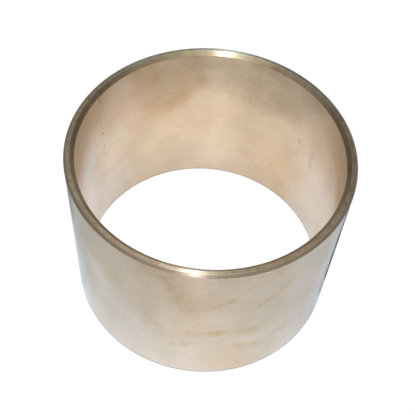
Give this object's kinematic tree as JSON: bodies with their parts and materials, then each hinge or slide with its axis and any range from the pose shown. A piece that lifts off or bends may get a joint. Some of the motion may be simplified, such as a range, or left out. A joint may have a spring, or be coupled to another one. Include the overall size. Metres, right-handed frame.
{
  "type": "sleeve bushing",
  "caption": "Thin-walled one-piece bronze sleeve bushing, chamfered at both ends, pressed into a housing bore to carry a turning or sliding shaft.",
  "frame": {"origin": "on the axis of the bore, in the plane of the lower end face", "axes": "+Z along the axis of the bore, from the lower end to the upper end; X and Y are free, because the sleeve is round"},
  "size_m": [0.07, 0.07, 0.05],
  "materials": {
    "bearing_bronze": "fine-turned, unplated tin bronze with turning marks, light handling stains and darker machined end faces"
  },
  "bodies": {
    "root": {"bushing_sleeve": "bearing_bronze"}
  },
  "joints": []
}
